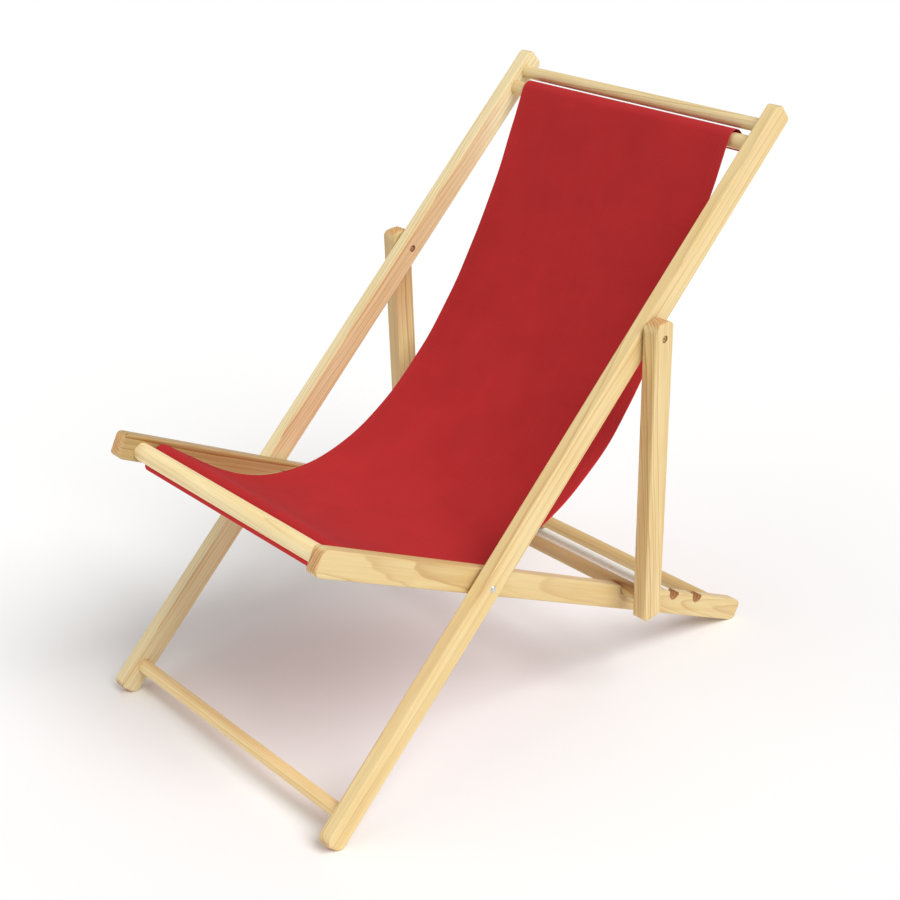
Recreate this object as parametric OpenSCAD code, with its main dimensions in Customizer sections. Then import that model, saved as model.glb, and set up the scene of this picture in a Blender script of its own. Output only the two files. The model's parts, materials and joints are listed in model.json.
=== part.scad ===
// Folding wooden sling chair.
// Three nested frames of flat rails and round bars: the seat frame is innermost, the back frame
// is in the middle and the prop frame is outermost. A canvas sling hangs from a bar at the top of
// the back frame to a bar at the front of the seat frame.
// X is the width, Y runs from front to back, Z is up, and the feet stand on Z = 0.
// The chair faces -Y, so the sitter's left hand is on +X.

/* [View] */
// which piece to show, or all of them

/* [Stance] */
// height of the main pivot above the floor
pivot_height = 319; // [250:1:400]
// lean of the back frame, measured up from the floor behind the chair
back_angle = 47.1; // [40:0.1:65]
// slope of the seat frame, rising to the front
seat_angle = 24; // [15:0.1:30]

/* [Rails] */
// depth of every rail, seen from the side
rail_depth = 40; // [30:0.5:55]
// thickness of the seat rails and the back rails, across the chair
rail_thick = 22; // [16:0.5:30]
// easing radius along the long edges of the rails
edge_radius = 2.6; // [0.5:0.1:5]
// rounding of the rail ends, seen from above
end_rounding = 5.5; // [1:0.5:10]
// distance between the inner faces of the two seat rails
inner_width = 435; // [350:1:600]
// gap between the seat rails and the back rails
inner_gap = 6; // [2:0.1:10]
// gap between the back rails and the prop struts
outer_gap = 3.5; // [2:0.1:10]
// depth of the blind holes that hold the bars
socket_depth = 14; // [8:0.5:18]

/* [Seat frame] */
// length of the seat rails in front of the main pivot
seat_front = 329; // [250:1:420]
// length of the seat rails behind the main pivot
seat_rear = 758; // [600:1:900]
// end radius at the front of the seat rails
seat_nose_radius = 13; // [5:0.5:19]
// distance from the main pivot forward to the front bar
front_bar_at = 288; // [200:1:400]
// diameter of the front bar
front_bar_d = 28; // [18:0.5:34]
// distance of the front bar's axis below the middle of the rails
front_bar_drop = 2.5; // [0:0.5:6]
// distance from the main pivot forward to the bar that carries the canvas
front_canvas_bar_at = 254; // [180:1:380]
// distance from the main pivot back to the rear crossbar
rear_crossbar_at = 714; // [600:1:850]
// diameter of the rear crossbar
rear_crossbar_d = 25; // [16:0.5:32]
// distance from the main pivot back to the first notch
first_notch_at = 374; // [300:1:450]
// spacing of the notches
notch_pitch = 76; // [50:1:90]
// number of notches in each seat rail
notch_count = 4; // [2:1:5]
// radius of the round bottom of a notch
notch_radius = 14.4; // [13:0.1:18]
// depth of a notch below the rail's top edge
notch_depth = 13.8; // [8:0.1:18]

/* [Back frame] */
// length of the back rails below the main pivot
back_foot = 426; // [350:1:520]
// length of the back rails above the main pivot
back_top = 846; // [700:1:1000]
// end radius of the back rails
back_end_radius = 15; // [5:0.5:19]
// distance from the main pivot up to the top bar
top_bar_at = 811; // [700:1:950]
// diameter of the top bar
top_bar_d = 21; // [16:0.5:30]
// distance from the main pivot up to the bar that carries the canvas
top_canvas_bar_at = 777; // [650:1:900]
// distance from the main pivot down to the lower crossbar
lower_crossbar_at = 379; // [250:1:420]
// diameter of the lower crossbar
lower_crossbar_d = 22; // [16:0.5:30]

/* [Prop frame] */
// distance from the main pivot up to the prop pivot
prop_pivot_at = 440; // [350:1:550]
// thickness of the struts, across the chair
strut_thick = 25.5; // [16:0.5:32]
// length of the struts above the prop pivot
strut_top = 26.5; // [18:0.5:45]
// length of the struts below the prop bar
strut_tail = 36; // [20:0.5:50]
// end radius at the top of the struts
strut_top_radius = 16; // [5:0.5:19]
// end radius at the bottom of the struts
strut_tail_radius = 13; // [5:0.5:19]
// diameter of the prop bar
prop_bar_d = 24; // [18:0.5:30]
// room left between the prop bar and the notch that it rests in
prop_bar_room = 0.2; // [0.1:0.05:0.5]

/* [Canvas] */
// width of the canvas
canvas_width = 431; // [300:1:434]
// thickness of the canvas
canvas_thick = 1.6; // [1:0.1:3]
// diameter of both bars that carry the canvas
canvas_bar_d = 24; // [16:0.5:30]
// diameter of the loose dowels inside the hems
hem_dowel_d = 17.4; // [12:0.2:24]
// length of the loose dowels inside the hems
hem_dowel_length = 406; // [300:1:430]
// room left between the canvas and the hem dowels inside it
sleeve_room = 0.3; // [0.2:0.05:1]
// room left between the canvas and the bars that it goes round
wrap_room = 2.3; // [0.3:0.1:4]
// height of the canvas above the main pivot where it passes over it
canvas_over_pivot = 5.4; // [3:0.1:40]
// slope of the canvas above the main pivot, falling to the back
canvas_pivot_slope = 3.4; // [0:0.1:10]
// angle between the canvas and the seat rails at the front bar
canvas_front_angle = 12.9; // [0:0.1:40]
// angle between the canvas and the back rails at the top bar
canvas_top_angle = 20.8; // [0:0.1:45]
// pull of the curve at the front bar and at the pivot, for the seat part
seat_curve_pull = [108, 80]; // [20:1:200]
// pull of the curve at the pivot and at the top bar, for the back part
back_curve_pull = [352, 92]; // [50:1:400]

/* [Fasteners] */
// diameter of the pivot bolts
bolt_d = 5; // [5:0.5:10]
// running clearance around a pivot bolt, on the radius
bolt_room = 0.05; // [0.02:0.01:0.1]
// diameter of the domed heads on the main pivot bolts
dome_d = 11; // [8:0.5:20]
// height of the domed heads
dome_height = 2.6; // [2:0.1:4]
// diameter of the heads of the prop bolts
prop_head_d = 9.5; // [8:0.5:16]
// diameter of the sunk holes for the prop bolt heads
head_hole_d = 11; // [9:0.5:18]
// diameter of the sunk holes for all nuts
nut_hole_d = 11; // [10:0.5:24]
// depth of all sunk holes
sunk_depth = 6; // [4:0.5:8]
// size of the nuts across their flats
nut_flats = 8; // [8:0.5:15]
// thickness of the nuts
nut_thick = 4.8; // [3:0.1:5.5]
// diameter of the spacers between the frames
spacer_d = 20; // [12:0.5:30]
// diameter of the pins that fix the bars
pin_d = 2.5; // [1.5:0.1:4]
// length of the pins that fix the bars
pin_length = 20; // [12:0.5:28]

/* [Hidden] */

WOOD = [0.88, 0.73, 0.48];
BAR_WOOD = [0.92, 0.82, 0.60];
CANVAS = [0.66, 0.16, 0.17];
STEEL = [0.72, 0.72, 0.70];
BRASS_STEEL = [0.50, 0.42, 0.32];

half_depth = rail_depth / 2;
// X of the inner and outer faces of the three pairs of rails
seat_in = inner_width / 2;
seat_out = seat_in + rail_thick;
back_in = seat_out + inner_gap;
back_out = back_in + rail_thick;
prop_in = back_out + outer_gap;
prop_out = prop_in + strut_thick;

// Y of the main pivot: the chair's front nose and rear foot are then equally far from Y = 0
front_reach = (seat_front - seat_nose_radius) * cos(seat_angle)
    + (half_depth - seat_nose_radius) * sin(seat_angle) + seat_nose_radius;
rear_reach = (seat_rear - half_depth) * cos(seat_angle) + half_depth;
pivot_y = (front_reach - rear_reach) / 2;

// the prop bar's axis in the seat frame, resting on the bottom of the first notch
notch_centre_z = half_depth - notch_depth + notch_radius;
prop_bar_z = half_depth - notch_depth + prop_bar_d / 2 + prop_bar_room;
// both ends of a strut's centre line, measured from the main pivot, in the YZ plane
strut_low = turned([first_notch_at, prop_bar_z], -seat_angle);
strut_high = turned([prop_pivot_at, 0], back_angle);
strut_span = norm(strut_high - strut_low);
strut_angle = atan2(strut_high[1] - strut_low[1], strut_high[0] - strut_low[0]);

wrap_radius = canvas_bar_d / 2 + wrap_room + canvas_thick / 2;
sleeve_in = hem_dowel_d / 2 + sleeve_room;
sleeve_out = sleeve_in + canvas_thick;
// hem dowels: place in the seat frame and in the back frame
front_dowel = [-front_canvas_bar_at - 14.5, -18.8];
top_dowel = [top_canvas_bar_at + 7.5, -23];
// where the canvas meets its top hem tube, as an angle around the dowel
top_meeting = 35;
// the canvas is cut here, as a distance behind the main pivot, into its seat and back parts
canvas_cut = [16, 22];

arc_steps = 12;
round_fn = 72;

// ---- plane geometry ----

// a point turned about the origin
function turned(p, a) = [p[0] * cos(a) - p[1] * sin(a), p[0] * sin(a) + p[1] * cos(a)];

// points on an arc, from angle a to angle b
function arc(centre, r, a, b, steps = arc_steps) =
    [for (i = [0 : steps]) let (t = a + (b - a) * i / steps) centre + r * [cos(t), sin(t)]];

// a rectangle from y0 to y1 and -h to h, with rounded corners at each end
function bar_outline(y0, y1, h, r0, r1, steps = arc_steps) = concat(
    arc([y1 - r1, h - r1], r1, 90, 0, steps),
    arc([y1 - r1, r1 - h], r1, 0, -90, steps),
    arc([y0 + r0, r0 - h], r0, -90, -180, steps),
    arc([y0 + r0, h - r0], r0, 180, 90, steps));

// a point and a direction on a curve that is pulled by two handles
function curve_point(c, t) = pow(1 - t, 3) * c[0] + 3 * pow(1 - t, 2) * t * c[1]
    + 3 * (1 - t) * t * t * c[2] + pow(t, 3) * c[3];
function curve_run(c, n) = [for (i = [0 : n]) curve_point(c, i / n)];

function unit(v) = v / norm(v);
// the direction of a line of points at point i
function heading(line, i) = unit(line[min(i + 1, len(line) - 1)] - line[max(i - 1, 0)]);
// the line moved sideways by d
function beside(line, d) =
    [for (i = [0 : len(line) - 1]) let (h = heading(line, i)) line[i] + d * [-h[1], h[0]]];
function backwards(line) = [for (i = [len(line) - 1 : -1 : 0]) line[i]];
// an outline of thickness w around a line of points
function ribbon(line, w) = concat(beside(line, w / 2), backwards(beside(line, -w / 2)));

// ---- placing ----

module in_seat_frame() {
    translate([0, pivot_y, pivot_height]) rotate([-seat_angle, 0, 0]) children();
}

module in_back_frame() {
    translate([0, pivot_y, pivot_height]) rotate([back_angle, 0, 0]) children();
}

module in_prop_frame() {
    translate([0, pivot_y + strut_high[0], pivot_height + strut_high[1]])
        rotate([strut_angle, 0, 0]) children();
}

// the same thing at both sides of the chair
module both_sides() {
    children();
    mirror([1, 0, 0]) children();
}

// a flat shape drawn in the YZ plane, made solid from x0 to x1
module across(x0, x1) {
    translate([x0, 0, 0]) rotate([90, 0, 90]) linear_extrude(height = x1 - x0) children();
}

// a round rod or hole along X, centred on (y, z)
module rod(x0, x1, d, y = 0, z = 0, sides = round_fn) {
    translate([x0, y, z]) rotate([0, 90, 0]) cylinder(h = x1 - x0, d = d, $fn = sides);
}

// everything above the floor
module above_floor() {
    intersection() {
        children();
        translate([-500, -1000, 0]) cube([1000, 2000, 1500]);
    }
}

// ---- shared shapes ----

// a rail along Y with rounded ends and eased long edges: its outlines from the side, from one end
// and from above, cut out of each other
module rail(x0, y0, y1, r0, r1, thick = rail_thick) {
    half_thick = thick / 2;
    intersection() {
        across(x0, x0 + thick) polygon(bar_outline(y0, y1, half_depth, r0, r1));
        translate([x0 + half_thick, y1 + 1, 0]) rotate([90, 0, 0])
            linear_extrude(height = y1 - y0 + 2)
                polygon(bar_outline(-half_thick, half_thick, half_depth, edge_radius, edge_radius, 4));
        translate([x0 + half_thick, 0, -half_depth - 1]) rotate([0, 0, 90])
            linear_extrude(height = rail_depth + 2)
                polygon(bar_outline(y0, y1, half_thick, end_rounding, end_rounding, 4));
    }
}

// a blind hole for the end of a bar, in a rail whose inner face is at x_in
module socket(x_in, y, d, z = 0) {
    rod(x_in - 1, x_in + socket_depth, d + 0.1, y, z);
}

// a pin from a rail's rear face into the end of a bar; grow is added to the diameter for its hole
module fixing_pin(x_in, y, grow = 0) {
    translate([x_in + socket_depth / 2, y, -half_depth - (grow > 0 ? 1 : 0)])
        cylinder(h = pin_length + (grow > 0 ? 1 : 0), d = pin_d + grow, $fn = 32);
}

// a bar between two rails, with holes for its two fixing pins
module crossbar(x_in, y, d, z = 0) {
    difference() {
        rod(-x_in - socket_depth, x_in + socket_depth, d, y, z);
        both_sides() fixing_pin(x_in, y, 0.1);
    }
}

module hex_nut(x0) {
    difference() {
        rod(x0, x0 + nut_thick, nut_flats / cos(30), sides = 6);
        rod(x0 - 1, x0 + nut_thick + 1, bolt_d + 2 * bolt_room);
    }
}

module spacer(x0, x1) {
    difference() {
        rod(x0, x1, spacer_d);
        rod(x0 - 1, x1 + 1, bolt_d + 2 * bolt_room);
    }
}

// ---- seat frame ----

module seat_rail() {
    difference() {
        rail(seat_in, -seat_front, seat_rear, seat_nose_radius, half_depth);
        socket(seat_in, -front_bar_at, front_bar_d, -front_bar_drop);
        socket(seat_in, -front_canvas_bar_at, canvas_bar_d);
        socket(seat_in, rear_crossbar_at, rear_crossbar_d);
        for (y = seat_bar_places) fixing_pin(seat_in, y, 0.1);
        for (i = [0 : notch_count - 1])
            rod(seat_in - 1, seat_out + 1, 2 * notch_radius, first_notch_at + i * notch_pitch,
                notch_centre_z);
        rod(seat_in - 1, seat_out + 1, bolt_d + 2 * bolt_room);
        rod(seat_in - 1, seat_in + sunk_depth, nut_hole_d);
    }
}

seat_bar_places = [-front_bar_at, -front_canvas_bar_at, rear_crossbar_at];

module seat_rail_left() {
    color(WOOD) above_floor() in_seat_frame() seat_rail();
}

module seat_rail_right() {
    color(WOOD) above_floor() in_seat_frame() mirror([1, 0, 0]) seat_rail();
}

module front_bar() {
    color(BAR_WOOD) in_seat_frame()
        crossbar(seat_in, -front_bar_at, front_bar_d, -front_bar_drop);
}

module front_canvas_bar() {
    color(BAR_WOOD) in_seat_frame() crossbar(seat_in, -front_canvas_bar_at, canvas_bar_d);
}

module rear_crossbar() {
    color(BAR_WOOD) in_seat_frame() crossbar(seat_in, rear_crossbar_at, rear_crossbar_d);
}

module front_hem_dowel() {
    color(BAR_WOOD) in_seat_frame()
        rod(-hem_dowel_length / 2, hem_dowel_length / 2, hem_dowel_d, front_dowel[0], front_dowel[1]);
}

module seat_bar_pins() {
    color(STEEL) in_seat_frame() both_sides()
        for (y = seat_bar_places) fixing_pin(seat_in, y);
}

// ---- back frame ----

back_bar_places = [-lower_crossbar_at, top_canvas_bar_at, top_bar_at];

module back_rail() {
    difference() {
        rail(back_in, -back_foot, back_top, back_end_radius, back_end_radius);
        socket(back_in, -lower_crossbar_at, lower_crossbar_d);
        socket(back_in, top_canvas_bar_at, canvas_bar_d);
        socket(back_in, top_bar_at, top_bar_d);
        for (y = back_bar_places) fixing_pin(back_in, y, 0.1);
        rod(back_in - 1, back_out + 1, bolt_d + 2 * bolt_room);
        rod(back_in - 1, back_out + 1, bolt_d + 2 * bolt_room, prop_pivot_at);
        rod(back_in - 1, back_in + sunk_depth, nut_hole_d, prop_pivot_at);
    }
}

module back_rail_left() {
    color(WOOD) above_floor() in_back_frame() back_rail();
}

module back_rail_right() {
    color(WOOD) above_floor() in_back_frame() mirror([1, 0, 0]) back_rail();
}

module top_bar() {
    color(BAR_WOOD) in_back_frame() crossbar(back_in, top_bar_at, top_bar_d);
}

module top_canvas_bar() {
    color(BAR_WOOD) in_back_frame() crossbar(back_in, top_canvas_bar_at, canvas_bar_d);
}

module lower_crossbar() {
    color(BAR_WOOD) in_back_frame() crossbar(back_in, -lower_crossbar_at, lower_crossbar_d);
}

module top_hem_dowel() {
    color(BAR_WOOD) in_back_frame()
        rod(-hem_dowel_length / 2, hem_dowel_length / 2, hem_dowel_d, top_dowel[0], top_dowel[1]);
}

module back_bar_pins() {
    color(STEEL) in_back_frame() both_sides()
        for (y = back_bar_places) fixing_pin(back_in, y);
}

// ---- pivots ----

// a domed bolt on each side, from the outside of the back rail to the nut inside the seat rail
module frame_pivot_bolts() {
    color(STEEL) in_seat_frame() both_sides() {
        rod(seat_in + 0.8, back_out + 0.5, bolt_d);
        translate([back_out, 0, 0]) rotate([0, 90, 0]) dome();
    }
}

// a low dome on a flat base
module dome() {
    dome_sphere = (pow(dome_d / 2, 2) + pow(dome_height, 2)) / (2 * dome_height);
    rotate_extrude($fn = round_fn) intersection() {
        translate([0, dome_height - dome_sphere]) circle(r = dome_sphere, $fn = 144);
        square([dome_d / 2, dome_height]);
    }
}

module frame_pivot_spacers() {
    color(STEEL) in_seat_frame() both_sides() spacer(seat_out + 0.3, back_in);
}

module frame_pivot_nuts() {
    color(STEEL) in_seat_frame() both_sides() hex_nut(seat_in + sunk_depth - nut_thick - 0.3);
}

// a bolt on each side, from the sunk hole in the strut to the nut in the back rail
module prop_pivot_bolts() {
    color(BRASS_STEEL) in_back_frame() both_sides() translate([0, prop_pivot_at, 0]) {
        rod(back_in + 0.8, prop_out - sunk_depth + 0.5, bolt_d);
        difference() {
            rod(prop_out - sunk_depth + 0.2, prop_out - 1.6, prop_head_d);
            rod(prop_out - 3.5, prop_out, 3 / cos(30), sides = 6);
        }
    }
}

module prop_pivot_spacers() {
    color(STEEL) in_back_frame() both_sides() translate([0, prop_pivot_at, 0])
        spacer(back_out, prop_in - 0.3);
}

module prop_pivot_nuts() {
    color(STEEL) in_back_frame() both_sides() translate([0, prop_pivot_at, 0])
        hex_nut(back_in + sunk_depth - nut_thick);
}

// ---- prop frame ----

module prop_strut() {
    difference() {
        rail(prop_in, -strut_span - strut_tail, strut_top, strut_tail_radius, strut_top_radius,
            strut_thick);
        socket(prop_in, -strut_span, prop_bar_d);
        fixing_pin(prop_in, -strut_span, 0.1);
        rod(prop_in - 1, prop_out + 1, bolt_d + 2 * bolt_room);
        rod(prop_out - sunk_depth, prop_out + 1, head_hole_d);
    }
}

module prop_strut_left() {
    color(WOOD) in_prop_frame() prop_strut();
}

module prop_strut_right() {
    color(WOOD) in_prop_frame() mirror([1, 0, 0]) prop_strut();
}

module prop_bar() {
    color(BAR_WOOD) in_prop_frame() crossbar(prop_in, -strut_span, prop_bar_d);
}

module prop_bar_pins() {
    color(STEEL) in_prop_frame() both_sides() fixing_pin(prop_in, -strut_span);
}

// ---- canvas ----

// where the hanging canvas leaves the front bar and the top bar, and where it crosses the pivot,
// all measured from the main pivot in the YZ plane
front_leave = turned([-front_canvas_bar_at, 0]
    + wrap_radius * [sin(canvas_front_angle), cos(canvas_front_angle)], -seat_angle);
top_leave = turned([top_canvas_bar_at, 0]
    + wrap_radius * [-sin(canvas_top_angle), cos(canvas_top_angle)], back_angle);
over_pivot = [0, canvas_over_pivot];
pivot_run = [cos(canvas_pivot_slope), -sin(canvas_pivot_slope)];
front_run = turned([cos(canvas_front_angle), -sin(canvas_front_angle)], -seat_angle);
top_run = turned([cos(canvas_top_angle), sin(canvas_top_angle)], back_angle);

seat_curve = curve_run([front_leave, front_leave + seat_curve_pull[0] * front_run,
    over_pivot - seat_curve_pull[1] * pivot_run, over_pivot], 40);
back_curve = curve_run([over_pivot, over_pivot + back_curve_pull[0] * pivot_run,
    top_leave - back_curve_pull[1] * top_run, top_leave], 90);

// the canvas round each bar and down to its hem
front_wrap = [for (p = concat(
    [front_dowel + [0.6, sleeve_in + canvas_thick / 2], [-front_canvas_bar_at - wrap_radius, -3]],
    arc([-front_canvas_bar_at, 0], wrap_radius, 180, 90 - canvas_front_angle)))
    turned(p, -seat_angle)];
top_wrap = [for (p = concat(
    arc([top_canvas_bar_at, 0], wrap_radius, 90 + canvas_top_angle, 0),
    [[top_canvas_bar_at + wrap_radius, -2],
        top_dowel + (sleeve_in + canvas_thick / 2) * [cos(top_meeting), sin(top_meeting)]]))
    turned(p, back_angle)];

function before(line, y) = [for (p = line) if (p[0] <= y) p];
function after(line, y) = [for (p = line) if (p[0] >= y) p];
function rest_of(line) = [for (i = [1 : len(line) - 1]) line[i]];

// a tube of canvas around a dowel, its centre measured from the main pivot
module hem_tube(centre) {
    difference() {
        rod(-canvas_width / 2, canvas_width / 2, 2 * sleeve_out, centre[0], centre[1]);
        rod(-canvas_width, canvas_width, 2 * sleeve_in, centre[0], centre[1]);
    }
}

module canvas_part(line, dowel_centre) {
    color(CANVAS) translate([0, pivot_y, pivot_height]) union() {
        across(-canvas_width / 2, canvas_width / 2) polygon(ribbon(line, canvas_thick));
        hem_tube(dowel_centre);
    }
}

module canvas_seat() {
    canvas_part(concat(front_wrap, rest_of(seat_curve), rest_of(before(back_curve, canvas_cut[0]))),
        turned(front_dowel, -seat_angle));
}

module canvas_back() {
    canvas_part(concat(after(back_curve, canvas_cut[1]), rest_of(top_wrap)),
        turned(top_dowel, back_angle));
}

// ---- show ----

seat_rail_left();
seat_rail_right();
front_bar();
front_canvas_bar();
rear_crossbar();
front_hem_dowel();
seat_bar_pins();
canvas_seat();
back_rail_left();
back_rail_right();
top_bar();
top_canvas_bar();
lower_crossbar();
top_hem_dowel();
back_bar_pins();
canvas_back();
frame_pivot_bolts();
frame_pivot_spacers();
frame_pivot_nuts();
prop_pivot_bolts();
prop_pivot_spacers();
prop_pivot_nuts();
prop_strut_left();
prop_strut_right();
prop_bar();
prop_bar_pins();
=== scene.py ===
"""Looks of the folding wooden sling chair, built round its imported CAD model.

The wood and the steel are the CAD pieces with procedural materials. The canvas is one continuous
sheet with hems and stitching, made here in place of the two CAD canvas solids. Lengths are in
metres, except where a name or a comment says millimetres.
"""
import json
import math

import bmesh
import bpy
import numpy as np
from mathutils import Matrix, Vector


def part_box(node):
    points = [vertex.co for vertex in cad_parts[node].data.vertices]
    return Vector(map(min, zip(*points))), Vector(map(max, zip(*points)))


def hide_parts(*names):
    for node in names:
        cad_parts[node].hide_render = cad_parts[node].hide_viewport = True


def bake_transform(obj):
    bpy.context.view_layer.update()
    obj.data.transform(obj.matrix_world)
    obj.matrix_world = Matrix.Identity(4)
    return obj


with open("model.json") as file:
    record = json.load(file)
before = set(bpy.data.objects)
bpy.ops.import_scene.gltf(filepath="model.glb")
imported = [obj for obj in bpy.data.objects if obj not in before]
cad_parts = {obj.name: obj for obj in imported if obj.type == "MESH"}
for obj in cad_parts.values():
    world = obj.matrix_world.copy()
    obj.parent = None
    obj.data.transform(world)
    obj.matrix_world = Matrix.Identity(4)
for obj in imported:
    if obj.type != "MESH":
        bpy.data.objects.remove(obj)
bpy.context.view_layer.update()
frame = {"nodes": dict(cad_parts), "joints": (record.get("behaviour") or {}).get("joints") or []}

MM = 0.001

# ---- camera, light and floor ----

CAMERA_AZIMUTH = 44.717
CAMERA_ELEVATION = 24.51
CAMERA_ROLL = 3.108
CAMERA_DISTANCE = 2.40004
CAMERA_TARGET = Vector((-0.01235, -0.01529, 0.38580))
CAMERA_LENS = 59.725
SENSOR_WIDTH = 36.0

FLOOR_HALF = 40.0
FLOOR_DROP = 0.0004
FLOOR_COLOUR = (0.93, 0.93, 0.925, 1)
FLOOR_HAZE_COLOUR = (0.925, 0.925, 0.92, 1)
WORLD_COLOUR = (1.0, 1.0, 1.0, 1)
WORLD_STRENGTH = 0.46

# direction towards it, angular size in degrees and strength of each soft light
LIGHTS = [
    ("key", (0.62, 0.05, 0.78), 40.0, 2.25),
    ("fill", (-0.35, -0.75, 0.55), 60.0, 0.45),
]


def add_object(name, data):
    """Puts a new object with this data into the scene."""
    made = bpy.data.objects.new(name, data)
    bpy.context.scene.collection.objects.link(made)
    return made


def direction_to_camera():
    azimuth, elevation = math.radians(CAMERA_AZIMUTH), math.radians(CAMERA_ELEVATION)
    return Vector((math.sin(azimuth) * math.cos(elevation),
                   -math.cos(azimuth) * math.cos(elevation),
                   math.sin(elevation)))


def make_camera():
    data = bpy.data.cameras.new("camera")
    data.sensor_width = SENSOR_WIDTH
    data.lens = CAMERA_LENS
    camera = add_object("camera", data)
    back = direction_to_camera()
    right = (-back).cross(Vector((0, 0, 1))).normalized()
    up = right.cross(-back)
    roll = math.radians(CAMERA_ROLL)
    tilted_right = right * math.cos(roll) + up * math.sin(roll)
    tilted_up = up * math.cos(roll) - right * math.sin(roll)
    turn = Matrix((tilted_right, tilted_up, back)).transposed().to_4x4()
    camera.matrix_world = Matrix.Translation(CAMERA_TARGET + back * CAMERA_DISTANCE) @ turn
    bpy.context.scene.camera = camera


def make_lights():
    for name, towards, size, strength in LIGHTS:
        data = bpy.data.lights.new(name, "SUN")
        data.angle = math.radians(size)
        data.energy = strength
        light = add_object(name, data)
        light.rotation_euler = (-Vector(towards)).to_track_quat("-Z", "Y").to_euler()
    world = bpy.data.worlds.new("studio")
    world.use_nodes = True
    background = world.node_tree.nodes["Background"]
    background.inputs["Color"].default_value = WORLD_COLOUR
    background.inputs["Strength"].default_value = WORLD_STRENGTH
    bpy.context.scene.world = world
    bpy.context.scene.view_settings.view_transform = "Standard"


# ---- materials ----

# the sockets of a mix node that take and give colours
MIX_FACTOR, MIX_A, MIX_B, MIX_RESULT = 0, 6, 7, 2


class Shader:
    """The nodes of one material."""

    def __init__(self, name):
        self.material = bpy.data.materials.new(name)
        self.material.use_nodes = True
        self.tree = self.material.node_tree
        self.tree.nodes.clear()

    def node(self, kind, inputs=None, **settings):
        made = self.tree.nodes.new(kind)
        for key, value in settings.items():
            setattr(made, key, value)
        for key, value in (inputs or {}).items():
            self.set(made.inputs[key], value)
        return made

    def set(self, socket, value):
        if isinstance(value, bpy.types.NodeSocket):
            self.tree.links.new(value, socket)
        else:
            socket.default_value = value

    def math(self, operation, *values):
        made = self.node("ShaderNodeMath", operation=operation)
        for socket, value in zip(made.inputs, values):
            self.set(socket, value)
        return made.outputs[0]

    def vector(self, operation, a, b, output="Vector"):
        made = self.node("ShaderNodeVectorMath", {0: a, 1: b}, operation=operation)
        return made.outputs[output]

    def stretched(self, vector, scale):
        """The vector times a different number on each axis."""
        return self.vector("MULTIPLY", vector, scale)

    def noise(self, vector, scale, detail=2.0, roughness=0.5, output="Fac"):
        """Noise with its own scale on each axis: the larger it is, the finer the noise."""
        made = self.node("ShaderNodeTexNoise",
                         {"Vector": self.stretched(vector, scale), "Scale": 1.0,
                          "Detail": detail, "Roughness": roughness})
        return made.outputs[output]

    def spread(self, value, low, high, to_low=0.0, to_high=1.0):
        """The value, taken from low..high to to_low..to_high, and kept inside them."""
        made = self.node("ShaderNodeMapRange",
                         {"Value": value, "From Min": low, "From Max": high,
                          "To Min": to_low, "To Max": to_high})
        return made.outputs["Result"]

    def ramp(self, value, stops):
        made = self.node("ShaderNodeValToRGB", {"Fac": value})
        elements = made.color_ramp.elements
        while len(elements) < len(stops):
            elements.new(0.5)
        for element, (place, level) in zip(elements, stops):
            element.position = place
            element.color = (level, level, level, 1)
        return made.outputs["Color"]

    def mix(self, factor, a, b, blend_type="MIX"):
        made = self.node("ShaderNodeMix", data_type="RGBA", blend_type=blend_type)
        self.set(made.inputs[MIX_FACTOR], factor)
        self.set(made.inputs[MIX_A], a)
        self.set(made.inputs[MIX_B], b)
        return made.outputs[MIX_RESULT]

    def dimmed(self, colour, level):
        """The colour times a level."""
        grey = self.node("ShaderNodeCombineColor", {0: level, 1: level, 2: level}).outputs[0]
        return self.mix(1.0, colour, grey, "MULTIPLY")

    def local_mm(self):
        """The place on the object, in millimetres."""
        return self.stretched(self.node("ShaderNodeTexCoord").outputs["Object"], (1 / MM,) * 3)

    def finish(self, colour, roughness, normal, **fixed):
        """Ends the material. The fixed numbers go straight on the shader's own sockets."""
        surface = self.node("ShaderNodeBsdfPrincipled")
        self.set(surface.inputs["Base Color"], colour)
        self.set(surface.inputs["Roughness"], roughness)
        self.set(surface.inputs["Normal"], normal)
        for key, value in fixed.items():
            surface.inputs[key.replace("_", " ")].default_value = value
        output = self.node("ShaderNodeOutputMaterial")
        self.tree.links.new(surface.outputs[0], output.inputs["Surface"])
        return self.material


def linear(red, green, blue):
    """A colour given as 0 to 255 on screen, as the shader wants it."""
    def channel(level):
        level /= 255
        return level / 12.92 if level <= 0.04045 else ((level + 0.055) / 1.055) ** 2.4
    return (channel(red), channel(green), channel(blue), 1.0)


# the two tones of a pale face, 0 to 255 on screen, and what a whole unit of warmth takes off
PALE_TONES = [((236, 213, 158), (3, 9, 16)), ((231, 203, 143), (4, 11, 18))]
AMBER_STREAK = linear(218, 178, 112)
RING_BROWN = linear(186, 132, 68)
RESIN_CANAL = linear(170, 120, 66)
END_PALE = linear(218, 172, 112)
END_STRIPE = linear(150, 92, 48)
END_PORE = linear(140, 90, 50)
WORN_EDGE = linear(242, 222, 172)
# bare wood inside the notches and holes: its own colour, darkened as painted shade of the recesses
BARE_SHADED_PALE = linear(184, 134, 84)
BARE_SHADED_STRIPE = linear(112, 68, 36)
STRIPE_STRENGTH = 0.8

# how fine each pattern in the wood is, per mm, with the grain along the middle number
WANDER_SCALE = (0.016, 0.0030, 0.016)
FIBRE_SCALE = (0.75, 0.009, 0.75)
PORE_SCALE = (2.4, 0.05, 2.4)
CLOUD_SCALE = (0.03, 0.005, 0.03)
STREAK_SCALE = (0.13, 0.0022, 0.13)
# how far the rings wander off their rounds, in mm
WANDER_REACH = (15.0, 0.0, 15.0)
# good and bad years: how fast they change per mm, and by how many rings they move the count
SEASON_SCALE = 0.11
SEASON_RINGS = 2.2
# how dark the wood is at these shares of one year's growth
YEAR_STOPS = [(0.0, 0.0), (0.36, 0.08), (0.70, 0.42), (0.88, 1.0), (0.95, 0.9), (1.0, 0.0)]
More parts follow.
